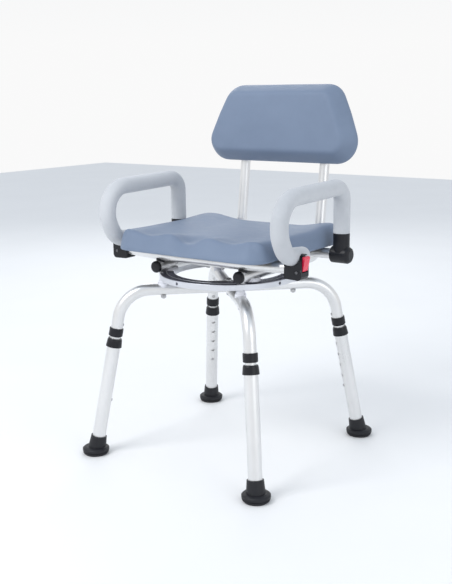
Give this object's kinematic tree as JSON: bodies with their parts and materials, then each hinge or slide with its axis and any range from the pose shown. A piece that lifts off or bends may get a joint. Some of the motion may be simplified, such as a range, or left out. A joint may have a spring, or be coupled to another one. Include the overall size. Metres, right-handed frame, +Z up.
{
  "type": "swivel bath chair",
  "caption": "Swivel bath chair: contoured foam seat and back on a turntable ring, flip-up padded arms with release levers, bent-tube frame and height-adjustable legs.",
  "frame": {"origin": "on the floor under the swivel axis, in the middle of the four feet", "axes": "+Z up, the seat faces -Y, +X is the sitter's left"},
  "size_m": [0.4968, 0.4937, 0.7929],
  "materials": {
    "tube_aluminium": "satin anodised",
    "ring_aluminium": "satin machined",
    "steel_hardware": "bright zinc",
    "black_plastic": "fine texture",
    "black_rubber": "matte",
    "white_plastic": "satin",
    "grip_foam": "smooth closed-cell foam",
    "blue_foam": "moulded skin foam",
    "board": "matte",
    "red_plastic": "glossy"
  },
  "bodies": {
    "leg_frame": {"frame_tube_main": "tube_aluminium", "frame_tube_front_left": "tube_aluminium", "frame_tube_rear_right": "tube_aluminium", "frame_bolts": "steel_hardware", "frame_collars": "black_plastic", "inner_leg_tubes": "tube_aluminium", "turntable_fixed_ring": "ring_aluminium", "turntable_balls": "steel_hardware", "ring_saddles": "white_plastic", "ring_screws": "steel_hardware"},
    "seat": {"turntable_moving_ring": "ring_aluminium", "ring_glides": "white_plastic", "seat_tube_left": "tube_aluminium", "seat_tube_right": "tube_aluminium", "seat_tube_plugs": "black_plastic", "seat_bolts": "steel_hardware", "front_rail": "tube_aluminium", "rear_rail": "tube_aluminium", "rail_saddles": "black_plastic", "latch_bracket_left": "black_plastic", "latch_bracket_right": "black_plastic", "latch_pins": "steel_hardware", "seat_board": "board", "seat_screws": "steel_hardware", "seat_cushion": "blue_foam", "upright_left": "tube_aluminium", "upright_right": "tube_aluminium", "back_clamps": "steel_hardware", "back_board": "board", "back_pad": "blue_foam", "swivel_lock_bracket": "steel_hardware"},
    "arm_left": {"arm_tube_left": "tube_aluminium", "arm_grip_left": "grip_foam", "arm_tee_left": "black_plastic"},
    "lever_left": {"release_lever_left": "red_plastic"},
    "arm_right": {"arm_tube_right": "tube_aluminium", "arm_grip_right": "grip_foam", "arm_tee_right": "black_plastic"},
    "lever_right": {"release_lever_right": "red_plastic"},
    "lock_pin": {"swivel_lock_pin": "black_plastic"},
    "leg_front_left": {"leg_tube_front_left": "tube_aluminium", "leg_collar_front_left": "black_plastic", "foot_front_left": "black_rubber"},
    "height_button_front_left": {"height_button_front_left": "steel_hardware"},
    "snap_button_front_left": {"snap_button_front_left": "steel_hardware"},
    "leg_rear_left": {"leg_tube_rear_left": "tube_aluminium", "leg_collar_rear_left": "black_plastic", "foot_rear_left": "black_rubber"},
    "height_button_rear_left": {"height_button_rear_left": "steel_hardware"},
    "snap_button_rear_left": {"snap_button_rear_left": "steel_hardware"},
    "leg_rear_right": {"leg_tube_rear_right": "tube_aluminium", "leg_collar_rear_right": "black_plastic", "foot_rear_right": "black_rubber"},
    "height_button_rear_right": {"height_button_rear_right": "steel_hardware"},
    "snap_button_rear_right": {"snap_button_rear_right": "steel_hardware"},
    "leg_front_right": {"leg_tube_front_right": "tube_aluminium", "leg_collar_front_right": "black_plastic", "foot_front_right": "black_rubber"},
    "height_button_front_right": {"height_button_front_right": "steel_hardware"},
    "snap_button_front_right": {"snap_button_front_right": "steel_hardware"}
  },
  "joints": [
    {"name": "seat_swivel", "type": "hinge", "parent": "leg_frame", "child": "seat", "pos_m": [0, 0, 0.391], "axis": [0, 0, 1], "continuous": true},
    {"name": "arm_lift_left", "type": "hinge", "parent": "seat", "child": "arm_left", "pos_m": [0.2185, 0.103, 0.4376], "axis": [-1, 0, 0], "range_deg": [0, 95]},
    {"name": "latch_release_left", "type": "hinge", "parent": "seat", "child": "lever_left", "pos_m": [0.241, -0.086, 0.438], "axis": [0, -1, 0], "range_deg": [0, 8], "stiffness_Nm_per_rad": 0.4, "springref_deg": -2.86},
    {"name": "arm_lift_right", "type": "hinge", "parent": "seat", "child": "arm_right", "pos_m": [-0.2185, 0.103, 0.4376], "axis": [-1, 0, 0], "range_deg": [0, 95]},
    {"name": "latch_release_right", "type": "hinge", "parent": "seat", "child": "lever_right", "pos_m": [-0.241, -0.086, 0.438], "axis": [0, 1, 0], "range_deg": [0, 8], "stiffness_Nm_per_rad": 0.4, "springref_deg": -2.86},
    {"name": "swivel_lock", "type": "slide", "parent": "seat", "child": "lock_pin", "axis": [-0.1736, -0.9848, 0], "range_m": [0, 0.009]},
    {"name": "leg_height_front_left", "type": "slide", "parent": "leg_frame", "child": "leg_front_left", "axis": [0.1361, -0.1361, -0.9813], "range_m": [0, 0.1016]},
    {"name": "height_button_push_front_left", "type": "slide", "parent": "leg_front_left", "child": "height_button_front_left", "axis": [0.6939, -0.6939, 0.1925], "range_m": [0, 0.004], "stiffness_N_per_m": 300, "springref_m": -0.003},
    {"name": "snap_button_push_front_left", "type": "slide", "parent": "leg_frame", "child": "snap_button_front_left", "axis": [0.6939, -0.6939, 0.1925], "range_m": [0, 0.004], "stiffness_N_per_m": 300, "springref_m": -0.003},
    {"name": "leg_height_rear_left", "type": "slide", "parent": "leg_frame", "child": "leg_rear_left", "axis": [0.1361, 0.1361, -0.9813], "range_m": [0, 0.1016]},
    {"name": "height_button_push_rear_left", "type": "slide", "parent": "leg_rear_left", "child": "height_button_rear_left", "axis": [0.6939, 0.6939, 0.1925], "range_m": [0, 0.004], "stiffness_N_per_m": 300, "springref_m": -0.003},
    {"name": "snap_button_push_rear_left", "type": "slide", "parent": "leg_frame", "child": "snap_button_rear_left", "axis": [0.6939, 0.6939, 0.1925], "range_m": [0, 0.004], "stiffness_N_per_m": 300, "springref_m": -0.003},
    {"name": "leg_height_rear_right", "type": "slide", "parent": "leg_frame", "child": "leg_rear_right", "axis": [-0.1361, 0.1361, -0.9813], "range_m": [0, 0.1016]},
    {"name": "height_button_push_rear_right", "type": "slide", "parent": "leg_rear_right", "child": "height_button_rear_right", "axis": [-0.6939, 0.6939, 0.1925], "range_m": [0, 0.004], "stiffness_N_per_m": 300, "springref_m": -0.003},
    {"name": "snap_button_push_rear_right", "type": "slide", "parent": "leg_frame", "child": "snap_button_rear_right", "axis": [-0.6939, 0.6939, 0.1925], "range_m": [0, 0.004], "stiffness_N_per_m": 300, "springref_m": -0.003},
    {"name": "leg_height_front_right", "type": "slide", "parent": "leg_frame", "child": "leg_front_right", "axis": [-0.1361, -0.1361, -0.9813], "range_m": [0, 0.1016]},
    {"name": "height_button_push_front_right", "type": "slide", "parent": "leg_front_right", "child": "height_button_front_right", "axis": [-0.6939, -0.6939, 0.1925], "range_m": [0, 0.004], "stiffness_N_per_m": 300, "springref_m": -0.003},
    {"name": "snap_button_push_front_right", "type": "slide", "parent": "leg_frame", "child": "snap_button_front_right", "axis": [-0.6939, -0.6939, 0.1925], "range_m": [0, 0.004], "stiffness_N_per_m": 300, "springref_m": -0.003}
  ]
}
